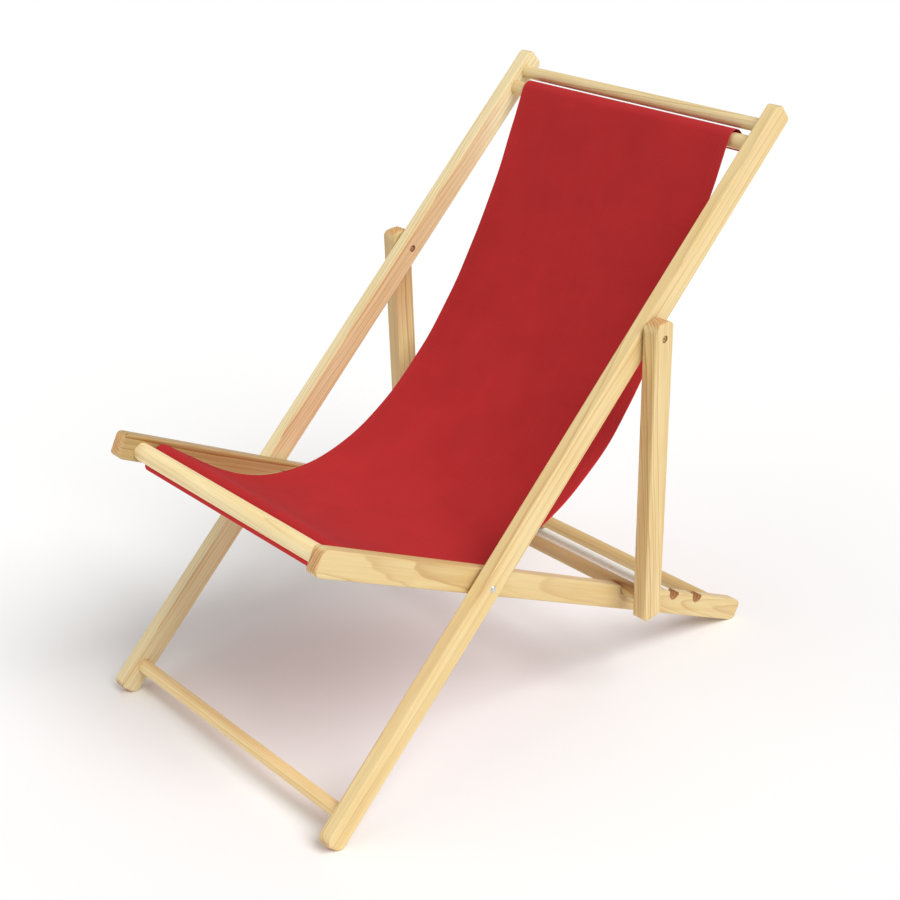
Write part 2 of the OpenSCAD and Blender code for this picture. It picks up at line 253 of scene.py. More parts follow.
# how far a whole step of the seed moves the pattern, in mm
SEED_STEP = (137.0, 911.0, 71.0)
WOOD_EDGE_RADIUS = 2.0 * MM
WOOD_RELIEF = 0.35 * MM


def wood(node, along, pith, tilt, ring, warmth, depth, tone_and_shade, cuts, seed):
    """Clear-varnished pine, with its growth rings running through the piece.

    along   the direction of the grain
    pith    where the middle of the tree was, in mm from the middle of the piece
    tilt    how fast the rings drift along the piece, in mm per mm
    ring    width of one growth ring in mm
    warmth  0 is pale yellow, 1 is more orange, below 0 is paler
    depth   how dark the rings are, 0 to about 1.3
    tone    how light the whole piece is: its own tone, and on a piece that lies in shade also painted shade
    cuts    (Y, Z) in metres and radius in mm of each notch and sunk hole in the piece
    seed    moves the pattern, so that no two pieces are alike
    """
    shader = Shader("pine_" + node)
    along = Vector(along).normalized()
    turn = along.rotation_difference(Vector((0, 1, 0)))
    corners = [turn @ v.co for v in frame["nodes"][node].data.vertices]
    middle = [(min(c[i] for c in corners) + max(c[i] for c in corners)) / (2 * MM)
              for i in range(3)]
    coordinates = shader.node("ShaderNodeTexCoord")
    local = shader.node("ShaderNodeMapping",
                        {"Vector": coordinates.outputs["Object"],
                         "Location": (-middle[0], -middle[1], -middle[2]),
                         "Rotation": turn.to_euler(), "Scale": (1 / MM,) * 3}).outputs[0]
    moved = shader.vector("ADD", local, tuple(seed * step for step in SEED_STEP))

    # rings are rounds about the pith, made uneven by slow noise along the grain
    wander = shader.noise(moved, WANDER_SCALE, 3.0, 0.5, "Color")
    wander = shader.stretched(shader.vector("SUBTRACT", wander, (0.5, 0.5, 0.5)), WANDER_REACH)
    warped = shader.node("ShaderNodeSeparateXYZ", {0: shader.vector("ADD", local, wander)})
    x = shader.math("MULTIPLY_ADD", warped.outputs["Y"], tilt[0], warped.outputs["X"])
    z = shader.math("MULTIPLY_ADD", warped.outputs["Y"], tilt[1], warped.outputs["Z"])
    x = shader.math("SUBTRACT", x, pith[0])
    z = shader.math("SUBTRACT", z, pith[1])
    radius = shader.math("SQRT", shader.math(
        "ADD", shader.math("MULTIPLY", x, x), shader.math("MULTIPLY", z, z)))
    seasons = shader.node("ShaderNodeTexNoise",
                          {"W": shader.math("MULTIPLY", radius, SEASON_SCALE),
                           "Scale": 1.0, "Detail": 1.0},
                          noise_dimensions="1D").outputs["Fac"]
    turns = shader.math("MULTIPLY_ADD", seasons, SEASON_RINGS,
                        shader.math("DIVIDE", radius, ring))
    year = shader.math("FLOOR", turns)
    late_wood = shader.ramp(shader.math("FRACT", turns), YEAR_STOPS)
    year_noise = shader.node("ShaderNodeTexWhiteNoise",
                             {"W": shader.math("ADD", year, seed)}, noise_dimensions="1D")
    strength = shader.spread(year_noise.outputs["Value"], 0.0, 1.0, 0.15, 1.0)
    rings = shader.math("MULTIPLY", late_wood, strength)

    fibres = shader.noise(moved, FIBRE_SCALE, 3.0, 0.6)
    pores = shader.noise(moved, PORE_SCALE)
    clouds = shader.noise(moved, CLOUD_SCALE)
    streaks = shader.noise(moved, STREAK_SCALE, roughness=0.55)

    # the faces along the grain
    tones = [linear(*(level - loss * warmth for level, loss in zip(levels, losses)))
             for levels, losses in PALE_TONES]
    pale = shader.mix(shader.spread(clouds, 0.35, 0.65), *tones)
    amber = shader.spread(streaks, 0.50, 0.72, 0.0, 0.5)
    pale = shader.mix(amber, pale, AMBER_STREAK)
    lines = shader.math("MULTIPLY", rings, shader.spread(clouds, 0.3, 0.7, 0.65 * depth, depth))
    face = shader.mix(lines, pale, RING_BROWN)
    canals = shader.spread(pores, 0.66, 0.76, 0.0, 0.28)
    face = shader.mix(canals, face, RESIN_CANAL)
    # the fibres' own lightness, times the piece's tone, which on a piece in shade is painted shade
    shade = shader.spread(fibres, 0.25, 0.75, 0.92 * tone_and_shade, 1.05 * tone_and_shade)
    face = shader.dimmed(face, shade)

    # the ends, where the varnish soaks in and the rings show as dark stripes
    stripes = shader.math("MULTIPLY", late_wood, STRIPE_STRENGTH)
    end = shader.mix(stripes, END_PALE, END_STRIPE)
    end = shader.mix(shader.spread(pores, 0.55, 0.75, 0.0, 0.3), end, END_PORE)
    facing = shader.math("ABSOLUTE", shader.vector(
        "DOT_PRODUCT", coordinates.outputs["Normal"], along, "Value"))
    is_end = shader.spread(facing, 0.5, 0.86)
    colour = shader.mix(is_end, face, end)

    # handled edges: rounded for the light, and a little paler
    softened = shader.node("ShaderNodeBevel", {"Radius": WOOD_EDGE_RADIUS}, samples=4).outputs[0]
    flatness = shader.vector("DOT_PRODUCT", softened,
                             shader.node("ShaderNodeNewGeometry").outputs["Normal"], "Value")
    edge = shader.spread(flatness, 0.9995, 0.95)
    worn = shader.math("MULTIPLY", edge, shader.spread(clouds, 0.3, 0.7, 0.08, 0.26))
    colour = shader.mix(worn, colour, WORN_EDGE)

    # inside the notches and the holes the wood is bare, with striped ends, and darker still as
    # painted shade in these recesses
    inside = shader.mix(stripes, BARE_SHADED_PALE, BARE_SHADED_STRIPE)
    for place, reach in cuts:
        from_axis = shader.vector("DISTANCE", shader.stretched(
            coordinates.outputs["Object"], (0.0, 1.0, 1.0)), (0.0, *place), "Value")
        bare_and_shaded = shader.spread(from_axis, (reach + 0.2) * MM, (reach + 0.5) * MM, 0.9, 0.0)
        colour = shader.mix(bare_and_shaded, colour, inside)

    roughness = shader.spread(fibres, 0.3, 0.7, 0.42, 0.54)
    roughness = shader.math("MULTIPLY_ADD", is_end, 0.14, roughness)
    relief = shader.math("MULTIPLY_ADD", rings, 0.5, shader.math("MULTIPLY", fibres, 0.6))
    relief = shader.math("MULTIPLY_ADD", pores, 0.25, relief)
    bump = shader.node("ShaderNodeBump", {"Strength": 0.32, "Distance": WOOD_RELIEF,
                                          "Height": relief, "Normal": softened})
    return shader.finish(colour, roughness, bump.outputs[0],
                         Coat_Weight=0.15, Coat_Roughness=0.3, IOR=1.45)


def steel(name, clean, stained, smooth, rough, stain_from, metallic):
    """Plated steel with fine scratches and faint stains.

    clean, stained  the two colours
    smooth, rough   the least and the greatest roughness, before the scratches
    stain_from      how rare the stains are: the level of the noise where they start
    """
    shader = Shader(name)
    local = shader.local_mm()
    blotches = shader.noise(local, (0.35, 0.35, 0.35), 3.0, 0.6)
    scratches = shader.noise(local, (0.4, 6.0, 0.9))
    stain = shader.spread(blotches, stain_from, stain_from + 0.25)
    colour = shader.mix(stain, clean, stained)
    roughness = shader.math("ADD", shader.spread(blotches, 0.3, 0.7, smooth, rough),
                            shader.spread(scratches, 0.45, 0.7, 0.0, 0.1))
    softened = shader.node("ShaderNodeBevel", {"Radius": 0.5 * MM}, samples=4).outputs[0]
    bump = shader.node("ShaderNodeBump", {"Strength": 0.2, "Distance": 0.1 * MM,
                                          "Height": scratches, "Normal": softened})
    return shader.finish(colour, roughness, bump.outputs[0], Metallic=metallic)


CLOTH_RED = linear(182, 45, 47)
CLOTH_SHADE = linear(176, 43, 45)
CLOTH_FUZZ = linear(200, 76, 74)
CLOTH_RIM = linear(214, 74, 74)
# the front hem's lighter red is painted light from below
CLOTH_FRONT_HEM_LIT = linear(212, 62, 62)
CLOTH_SIDE_HEM = linear(206, 60, 60)
# painted shade in the dimple along the side stitches
CLOTH_GROOVE_SHADE = linear(128, 28, 32)
THREAD_RED = linear(198, 62, 60)
THREAD_SHADE = linear(172, 44, 46)
THREAD_PITCH_MM = 0.92


def canvas_cloth():
    """Matt plain-weave canvas. Its UV map is in metres: across the cloth, and along it."""
    shader = Shader("red_canvas")
    flat = shader.stretched(shader.node("ShaderNodeUVMap", uv_map="cloth").outputs[0],
                            (1 / MM, 1 / MM, 1.0))
    parts = shader.node("ShaderNodeSeparateXYZ", {0: flat})
    across, along = parts.outputs["X"], parts.outputs["Y"]
    turn = math.pi / THREAD_PITCH_MM
    warp_wave = shader.math("SINE", shader.math("MULTIPLY", across, turn))
    weft_wave = shader.math("SINE", shader.math("MULTIPLY", along, turn))
    over = shader.math("MULTIPLY_ADD", shader.math("MULTIPLY", warp_wave, weft_wave), 0.5, 0.5)
    ridges = shader.math("ADD", shader.math("ABSOLUTE", warp_wave),
                         shader.math("ABSOLUTE", weft_wave))
    weave = shader.math("MULTIPLY_ADD", ridges, 0.22, shader.math("MULTIPLY", over, 0.55))

    # thick and thin threads in both directions
    warp_slubs = shader.noise(flat, (0.62, 0.014, 1.0), 3.0, 0.65)
    weft_slubs = shader.noise(flat, (0.014, 0.62, 1.0), 3.0, 0.65)
    slubs = shader.math("MULTIPLY", shader.math("ADD", warp_slubs, weft_slubs), 0.5)
    mottle = shader.noise(flat, (0.012, 0.012, 1.0), 3.0, 0.55)
    fuzz = shader.noise(flat, (1.7, 1.7, 1.0))

    colour = shader.mix(shader.spread(mottle, 0.35, 0.65), CLOTH_RED, CLOTH_SHADE)
    colour = shader.dimmed(colour, shader.spread(slubs, 0.36, 0.64, 0.94, 1.06))
    colour = shader.dimmed(colour, shader.spread(weave, 0.1, 0.9, 0.94, 1.04))
    colour = shader.mix(shader.spread(fuzz, 0.62, 0.8, 0.0, 0.10), colour, CLOTH_FUZZ)

    # the folded sides: rubbed paler at the very edge, and painted shade in the dimple along the
    # stitches; the front hem is painted lighter, as painted light from below
    rim = shader.node("ShaderNodeAttribute", attribute_name="rim_mm",
                      attribute_type="GEOMETRY").outputs["Fac"]
    rubbed = shader.spread(rim, 0.0, 1.6, 0.42, 0.0)
    colour = shader.mix(rubbed, colour, CLOTH_RIM)
    front_hem_light = shader.spread(along, FRONT_HEM_MM - FRONT_HEM_FADE_MM,
                              FRONT_HEM_MM + FRONT_HEM_FADE_MM, 0.5, 0.0)
    colour = shader.mix(front_hem_light, colour, CLOTH_FRONT_HEM_LIT)
    hem = shader.spread(rim, HEM_FOLD_MM - 0.6, HEM_FOLD_MM + 0.6, 0.10, 0.0)
    colour = shader.mix(hem, colour, CLOTH_SIDE_HEM)
    # painted shade along the dimple of the side stitches
    from_stitch = shader.math("ABSOLUTE", shader.math("SUBTRACT", rim, STITCH_FROM_EDGE_MM))
    groove_shade = shader.spread(from_stitch, 0.0, 1.2, 0.3, 0.0)
    colour = shader.mix(groove_shade, colour, CLOTH_GROOVE_SHADE)

    relief = shader.math("MULTIPLY_ADD", slubs, 0.8, weave)
    relief = shader.math("MULTIPLY_ADD", fuzz, 0.2, relief)
    bump = shader.node("ShaderNodeBump", {"Strength": 0.5, "Distance": 0.3 * MM, "Height": relief})
    roughness = shader.spread(slubs, 0.35, 0.65, 0.90, 0.98)
    return shader.finish(colour, roughness, bump.outputs[0],
                         Sheen_Weight=0.02, Sheen_Roughness=0.5, Specular_IOR_Level=0.08)


def sewing_thread():
    """Twisted red sewing thread."""
    shader = Shader("red_thread")
    local = shader.local_mm()
    twist = shader.noise(local, (2.5, 2.5, 2.5))
    colour = shader.mix(shader.spread(twist, 0.35, 0.65), THREAD_RED, THREAD_SHADE)
    bump = shader.node("ShaderNodeBump", {"Strength": 0.4, "Distance": 0.1 * MM, "Height": twist})
    return shader.finish(colour, shader.spread(twist, 0.3, 0.7, 0.6, 0.75), bump.outputs[0],
                         Sheen_Weight=0.1, Specular_IOR_Level=0.3)


def floor_paint():
    """A plain pale studio floor."""
    shader = Shader("studio_floor")
    local = shader.node("ShaderNodeTexCoord").outputs["Object"]
    haze = shader.noise(local, (0.8, 0.8, 0.8))
    colour = shader.mix(shader.spread(haze, 0.3, 0.7), FLOOR_COLOUR, FLOOR_HAZE_COLOUR)
    bump = shader.node("ShaderNodeBump", {"Strength": 0.02, "Height": haze})
    return shader.finish(colour, shader.spread(haze, 0.3, 0.7, 0.88, 0.92), bump.outputs[0],
                         Specular_IOR_Level=0.1)


def make_floor():
    half = FLOOR_HALF
    mesh = bpy.data.meshes.new("floor")
    mesh.from_pydata([(-half, -half, 0), (half, -half, 0), (half, half, 0), (-half, half, 0)],
                     [], [(0, 1, 2, 3)])
    mesh.materials.append(floor_paint())
    floor = add_object("floor", mesh)
    floor.location.z = -FLOOR_DROP


# ---- where things are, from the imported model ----

def bar_centre(node):
    """(Y, Z) of the axis of a bar that runs along X."""
    low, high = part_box(node)
    return np.array([(low.y + high.y) / 2, (low.z + high.z) / 2])


JOINTS = {joint["name"]: joint for joint in frame["joints"]}
PIVOT = np.array(JOINTS["back_fold"]["pos_m"][1:])
PROP_PIVOT = np.array(JOINTS["prop_fold"]["pos_m"][1:])


def heading_of(line):
    """The angle of a line in the YZ plane, in degrees from +Y."""
    return math.degrees(math.atan2(line[1], line[0]))


SEAT_ANGLE = heading_of(bar_centre("rear_crossbar") - bar_centre("front_canvas_bar"))
BACK_ANGLE = heading_of(bar_centre("top_canvas_bar") - bar_centre("lower_crossbar"))
STRUT_ANGLE = heading_of(PROP_PIVOT - bar_centre("prop_bar"))


def in_plane(angle):
    """The direction in the YZ plane at an angle from +Y."""
    return (0.0, math.cos(math.radians(angle)), math.sin(math.radians(angle)))


# ---- the canvas ----

# lengths are in millimetres and angles in degrees; the right side is the one towards -X
CLOTH_THICK = 0.9
# how far each side edge is from the middle, at these shares of the way from pivot to top bar
EDGE_PLACES = (0.0, 0.12, 0.24, 0.39, 0.55, 0.65, 0.75, 0.86, 1.0)
RIGHT_EDGE = (215.2, 216.0, 219.8, 221.6, 220.4, 218.8, 217.0, 215.4, 215.2)
LEFT_EDGE = (215.2, 216.0, 219.8, 221.2, 218.2, 214.6, 213.4, 213.8, 215.2)
# the side edges' small unevenness: its height, and how slowly its two waves run
EDGE_WAVE = (0.6, 61.0, 23.0)
# how much shorter the front hem is at each side, and where before the front bar that fades out
RIGHT_HEM_SHORT = 2.0
LEFT_HEM_SHORT = 7.5
HEM_SHORT_UNTIL = 48
HEM_FULL_FROM = 30
# the front hem painted lighter, as painted light from below: how far it reaches along the cloth,
# and half the stretch where it fades
FRONT_HEM_MM = 78.0
FRONT_HEM_FADE_MM = 8.0
# the folded sides
HEM_FOLD_MM = 14.0
STITCH_FROM_EDGE_MM = 10.0
# from the axis of a canvas bar or a hem dowel to the middle of the cloth round it
FRONT_WRAP_RADIUS = 15.1
TOP_WRAP_RADIUS = 17.0
SLEEVE_RADIUS = 9.6
# the hems' tails: how far off the cloth, and how far their stitches are from the seam
TAIL_GAP = 1.1
TAIL_REACH = 4.0
# the height of each hem's seam above the axis of its canvas bar
FRONT_SEAM = -5.0
TOP_SEAM = -10.0
# how steeply the cloth leaves each frame at its canvas bar
FRONT_ANGLE = 12.9
TOP_ANGLE = 20.8
# where the cloth crosses over the main pivot, how it falls there, and the two curves' handles
OVER_PIVOT = np.array([0.0, 5.4])
PIVOT_SLOPE = 3.4
SEAT_PULL = (108.0, 80.0)
BACK_PULL = (352.0, 92.0)
SEAT_STEPS = 400
BACK_STEPS = 1000
ARC_STEP = 0.5
# the sampled line: its step, and how many samples are averaged for the line and for its edges
LINE_STEP = 0.4
LINE_WINDOW = 7
EDGE_WINDOW = 181
# how much lower the back's cloth hangs in the middle than at its sides, and the seat's share
# of that
CROWN_SAG = 3.0
SEAT_SAG_SHARE = 0.7
# slow waves in the cloth: height, how slowly each runs across and along, its start, and how
# slowly it comes and goes along the cloth, with that one's start
WAVES = [(0.9, 31.0, 170.0, 0.6, 118.0, 1.1), (0.6, 17.0, -96.0, 2.1, 74.0, 0.4),
         (0.4, 9.5, 51.0, 4.0, 47.0, 2.2)]
# small pulls at the two bars: height, width, start, how much of the height they have in the
# middle of the cloth, and how far from each bar they reach
PULL_HEIGHT, PULL_WIDTH, PULL_START = 0.5, 6.3, 0.8
PULL_IN_MIDDLE = 0.4
FRONT_PULL_REACH = 55.0
TOP_PULL_REACH = 70.0
# how far from the bars the waves are at full height, and the folded sides at full thickness
WAVE_FADE = 70.0
FOLD_FADE = 26.0
# the spacing of the mesh's rows: on wood, at most, and how much it grows per mm from a bar;
# and how near the cloth's end the last row may start
FINE_ROW = 1.9
LONG_ROW = 7.0
ROW_GROWTH = 0.2
ROW_STOP = 0.5
STITCH_LENGTH = 3.3
STITCH_PITCH = 4.2
STITCH_RADIUS = 0.3
# how far each row of stitches stays from its ends
STITCH_MARGIN = 4
# height of the upper and the lower side stitches, where the side is flat and where it is folded
SIDE_STITCH_HEIGHTS = ((0.5, 0.3), (-0.5, -1.18))
SEAM_STITCH_HEIGHT = 0.5
STITCH_SIDES = 6
# the rings of points round one stitch: share of its length, thickness and rise
STITCH_RINGS = ((0.0, 0.25, -0.35), (0.18, 0.9, 0.0), (0.5, 1.0, 0.12), (0.82, 0.9, 0.0),
                (1.0, 0.25, -0.35))


def turned(points, angle):
    """The points turned about the origin by an angle in degrees."""
    c, s = math.cos(math.radians(angle)), math.sin(math.radians(angle))
    return np.atleast_2d(points) @ np.array([[c, s], [-s, c]])


def arc(centre, radius, start, end):
    """Points on a circle between two angles in degrees."""
    steps = max(2, int(abs(math.radians(end - start)) * radius / ARC_STEP))
    t = np.radians(np.linspace(start, end, steps + 1))
    return np.array(centre) + radius * np.stack([np.cos(t), np.sin(t)], 1)


def pulled_curve(a, pull_a, pull_b, b, steps):
    """A curve from a to b, pulled towards the two handles."""
    t = np.linspace(0, 1, steps + 1)[:, None]
    return ((1 - t) ** 3 * a + 3 * (1 - t) ** 2 * t * pull_a + 3 * (1 - t) * t ** 2 * pull_b
            + t ** 3 * b)


def local_centre(node, angle):
    """A bar's axis in a frame's own plane, in mm from the main pivot."""
    return turned((bar_centre(node) - PIVOT) / MM, -angle)[0]


def touching(centre, radius, point):
    """The angles around a circle where the two lines from a point outside touch it."""
    away = point - centre
    middle = math.degrees(math.atan2(away[1], away[0]))
    half = math.degrees(math.acos(radius / np.linalg.norm(away)))
    return middle - half, middle + half


def canvas_line():
    """The middle of the cloth from its front hem to its top hem, in mm from the main pivot.

    Returns the points, the distance run at each of them, and four marks along that run: where
    the hanging cloth leaves the front bar, crosses the pivot and meets the top bar, and where
    the top hem is sewn. At each end the cloth goes round a dowel and its tail lies on the cloth.
    """
    bar = local_centre("front_canvas_bar", SEAT_ANGLE)
    dowel = local_centre("front_hem_dowel", SEAT_ANGLE)
    seam = bar + (-FRONT_WRAP_RADIUS, FRONT_SEAM)
    tail = seam + (-TAIL_GAP, 0.0)
    front = np.concatenate([
        [tail + (0.0, 2 * TAIL_REACH), tail],
        arc(dowel, SLEEVE_RADIUS, touching(dowel, SLEEVE_RADIUS, tail)[1],
            touching(dowel, SLEEVE_RADIUS, seam)[0] + 360),
        [seam],
        arc(bar, FRONT_WRAP_RADIUS, 180, 90 - FRONT_ANGLE)])
    front = turned(front, SEAT_ANGLE)

    bar = local_centre("top_canvas_bar", BACK_ANGLE)
    dowel = local_centre("top_hem_dowel", BACK_ANGLE)
    seam = bar + (TOP_WRAP_RADIUS, TOP_SEAM)
    tail = seam + (-TAIL_GAP, 0.0)
    wrap = arc(bar, TOP_WRAP_RADIUS, 90 + TOP_ANGLE, 0)
    top = np.concatenate([
        wrap,
        [seam],
        arc(dowel, SLEEVE_RADIUS, touching(dowel, SLEEVE_RADIUS, seam)[0],
            touching(dowel, SLEEVE_RADIUS, tail)[1] - 360),
        [tail, tail + (0.0, 2 * TAIL_REACH)]])
    top = turned(top, BACK_ANGLE)

    front_run = np.array(in_plane(SEAT_ANGLE - FRONT_ANGLE)[1:])
    top_run = np.array(in_plane(BACK_ANGLE + TOP_ANGLE)[1:])
    pivot_run = np.array(in_plane(-PIVOT_SLOPE)[1:])
    seat = pulled_curve(front[-1], front[-1] + SEAT_PULL[0] * front_run,
                        OVER_PIVOT - SEAT_PULL[1] * pivot_run, OVER_PIVOT, SEAT_STEPS)
    back = pulled_curve(OVER_PIVOT, OVER_PIVOT + BACK_PULL[0] * pivot_run,
                        top[0] - BACK_PULL[1] * top_run, top[0], BACK_STEPS)
    line = np.concatenate([front[:-1], seat[:-1], back[:-1], top])
    leave_front = len(front) - 1
    at_pivot = leave_front + len(seat) - 1
    meet_top = at_pivot + len(back) - 1
    sewn = meet_top + len(wrap)
    run = np.concatenate([[0], np.cumsum(np.linalg.norm(np.diff(line, axis=0), axis=1))])
    return line, run, run[[leave_front, at_pivot, meet_top, sewn]]


def smooth_step(value, low, high):
    """0 up to low and 1 from high on, with a soft change between them."""
    t = np.clip((value - low) / (high - low), 0, 1)
    return t * t * (3 - 2 * t)


def smoothed(values, window):
    """The running mean over an odd number of values, with the ends held."""
    padded = np.pad(values, window // 2, "edge")
    return np.convolve(padded, np.ones(window) / window, "valid")


class Cloth:
    """The shape of the hanging cloth: a place for every distance along and across it."""

    def __init__(self):
        line, run, marks = canvas_line()
        self.leave_front, self.at_pivot, self.meet_top, self.top_seam = marks
        self.length = run[-1]
        self.run = np.arange(0, self.length, LINE_STEP)
        self.line = np.stack([smoothed(np.interp(self.run, run, line[:, i]), LINE_WINDOW)
                              for i in (0, 1)], 1)
        heading = np.gradient(self.line, axis=0)
        heading /= np.linalg.norm(heading, axis=1)[:, None]
        self.normal = np.stack([-heading[:, 1], heading[:, 0]], 1)
        share = (self.run - self.at_pivot) / (self.meet_top - self.at_pivot)
        on_hem = 1 - smooth_step(self.run, self.leave_front - HEM_SHORT_UNTIL,
                                 self.leave_front - HEM_FULL_FROM)
        self.edges = {}
        for side, distances, short in ((-1, RIGHT_EDGE, RIGHT_HEM_SHORT),
                                       (1, LEFT_EDGE, LEFT_HEM_SHORT)):
            full = smoothed(np.interp(share, EDGE_PLACES, distances), EDGE_WINDOW)
            self.edges[side] = full - short * on_hem

    def rows(self):
        """Distances along the cloth: close together round the bars and hems."""
        rows = [0.0]
        while rows[-1] < self.length - ROW_STOP:
            near = min(abs(rows[-1] - self.leave_front), abs(rows[-1] - self.meet_top))
            on_wood = rows[-1] < self.leave_front or rows[-1] > self.meet_top
            step = FINE_ROW if on_wood else min(LONG_ROW, FINE_ROW + near * ROW_GROWTH)
            rows.append(rows[-1] + step)
        rows[-1] = self.length - LINE_STEP
        return np.array(rows)

    def edge(self, s, side):
        """How far the cloth's edge is from the middle of the chair; side is -1 or 1."""
        height, slow, quick = EDGE_WAVE
        wave = height * np.sin(s / slow) * np.sin(s / quick)
        return np.interp(s, self.run, self.edges[side]) + wave

    def hanging(self, s, fade):
        """1 where the cloth hangs free, 0 where it lies on wood."""
        return (smooth_step(s, self.leave_front, self.leave_front + fade)
                * (1 - smooth_step(s, self.meet_top - fade, self.meet_top)))

    def swell(self, s, x):
        """How far the hanging cloth stands off its middle line, along its normal."""
        share = x / np.where(x > 0, self.edge(s, 1), self.edge(s, -1))
        seat = np.clip((s - self.leave_front) / (self.at_pivot - self.leave_front), 0, 1)
        back = np.clip((s - self.at_pivot) / (self.meet_top - self.at_pivot), 0, 1)
        crown = -CROWN_SAG * (np.sin(np.pi * seat) ** 2 * SEAT_SAG_SHARE
                              + np.sin(np.pi * back) ** 2)
        crown = crown * (1 - share ** 2)
        waves = sum(height * np.sin(x / across + s / along + start) * np.sin(s / slow + slow_start)
                    for height, across, along, start, slow, slow_start in WAVES)
        near_front = np.exp(-np.maximum(s - self.leave_front, 0) / FRONT_PULL_REACH)
        near_top = np.exp(-np.maximum(self.meet_top - s, 0) / TOP_PULL_REACH)
        pulls = (PULL_HEIGHT * np.sin(x / PULL_WIDTH + PULL_START) * (near_front + near_top)
                 * (PULL_IN_MIDDLE + share ** 2))
        return (crown + waves + pulls) * self.hanging(s, WAVE_FADE)

    def faces(self, s, plain, folded):
        """The height of a face above the cloth's middle: the folded side goes flat on wood."""
        return plain + (folded - plain) * self.hanging(s, FOLD_FADE)

    def place(self, s, x, off):
        """A point in metres: s along, x across, and off above the middle of the cloth, in mm."""
        along = [np.interp(s, self.run, self.line[:, i]) for i in (0, 1)]
        normal = [np.interp(s, self.run, self.normal[:, i]) for i in (0, 1)]
        off = off + self.swell(s, x)
        y = PIVOT[0] + (along[0] + normal[0] * off) * MM
        z = PIVOT[1] + (along[1] + normal[1] * off) * MM
        return np.stack([x * MM, y, z], -1)


# distance in from the side edge, and the heights of the upper and lower faces there, above the
# middle of the cloth, where the side is folded under
SIDE_PROFILE = [
    (0.0, -0.15, -0.75), (0.22, 0.2, -1.1), (0.8, 0.45, -1.35), (2.6, 0.52, -1.42),
    (6.2, 0.55, -1.45), (8.9, 0.48, -1.38), (9.5, 0.34, -1.22), (10.0, 0.22, -1.1),
    (10.5, 0.34, -1.22), (11.1, 0.45, -1.36), (13.3, 0.45, -1.35), (13.8, 0.45, -1.15),
    (14.2, 0.45, -0.55), (15.0, 0.45, -0.45)]
INNER_COLUMNS = 44


# the share of its thickness that a single layer has at its very edge
EDGE_SHARE = 0.2


def plain_height(distance):
    """Half the thickness of a single layer, rounded off in the last millimetre to its edge."""
    return CLOTH_THICK / 2 * min(1.0, EDGE_SHARE + distance)


def cloth_columns():
    """For each column of the mesh: which side it is measured from, distance, upper and lower face
    where it is folded, and half its thickness where it is not.

    Inner columns are measured as a share of the width between the two folded sides.
    """
    right = [("right", d, up, down, plain_height(d)) for d, up, down in SIDE_PROFILE]
    left = [("left", *column[1:]) for column in reversed(right)]
    shares = np.linspace(0, 1, INNER_COLUMNS + 2)[1:-1]
    flat = CLOTH_THICK / 2
    inner = [("inner", share, flat, -flat, flat) for share in shares]
    return right + inner + left


def column_place(kind, value, right, left):
    """(X of the column, distance from the nearer side edge), with the edges at -right and left."""
    if kind == "right":
        return value - right, np.full_like(right, value)
    if kind == "left":
        return left - value, np.full_like(left, value)
    fold = SIDE_PROFILE[-1][0]
    x = (fold - right) * (1 - value) + (left - fold) * value
    return x, np.minimum(x + right, left - x)


def smooth_mesh(name, points, faces):
    mesh = bpy.data.meshes.new(name)
    mesh.from_pydata(points.tolist(), [], faces)
    mesh.polygons.foreach_set("use_smooth", [True] * len(mesh.polygons))
    return mesh


def make_canvas(cloth):
    rows = cloth.rows()
    right, left = cloth.edge(rows, -1), cloth.edge(rows, 1)
    columns = cloth_columns()
    faces_up, faces_down, rims, across = [], [], [], []
    for kind, value, up, down, flat in columns:
        x, rim = column_place(kind, value, right, left)
        faces_up.append(cloth.place(rows, x, cloth.faces(rows, flat, up)))
        faces_down.append(cloth.place(rows, x, cloth.faces(rows, -flat, down)))
        rims.append(rim)
        across.append(x)
    n, m = len(rows), len(columns)
    upper = np.stack(faces_up, 1).reshape(-1, 3)
    lower = np.stack(faces_down, 1).reshape(-1, 3)
    rim = np.stack(rims, 1).ravel()
    flat = np.stack([np.stack(across, 1).ravel(), np.repeat(rows, m)], 1) * MM

    def at(row, column, below=False):
        return row * m + column + (n * m if below else 0)

    faces = []
    for i in range(n - 1):
        for j in range(m - 1):
            faces.append((at(i, j), at(i, j + 1), at(i + 1, j + 1), at(i + 1, j)))
            faces.append((at(i, j, True), at(i + 1, j, True), at(i + 1, j + 1, True),
                          at(i, j + 1, True)))
        faces.append((at(i, 0), at(i + 1, 0), at(i + 1, 0, True), at(i, 0, True)))
        faces.append((at(i, m - 1), at(i, m - 1, True), at(i + 1, m - 1, True), at(i + 1, m - 1)))
    for j in range(m - 1):
        faces.append((at(0, j), at(0, j, True), at(0, j + 1, True), at(0, j + 1)))
        faces.append((at(n - 1, j), at(n - 1, j + 1), at(n - 1, j + 1, True), at(n - 1, j, True)))

    mesh = smooth_mesh("canvas_sling", np.concatenate([upper, lower]), faces)
    uv = mesh.uv_layers.new(name="cloth")
    flat = np.concatenate([flat, flat])
    corner = np.zeros(len(mesh.loops), np.int32)
    mesh.loops.foreach_get("vertex_index", corner)
    uv.data.foreach_set("uv", flat[corner].ravel())
    attribute = mesh.attributes.new("rim_mm", "FLOAT", "POINT")
    attribute.data.foreach_set("value", np.concatenate([rim, rim]).astype(np.float32))
    mesh.materials.append(canvas_cloth())
    return add_object("canvas_sling", mesh)


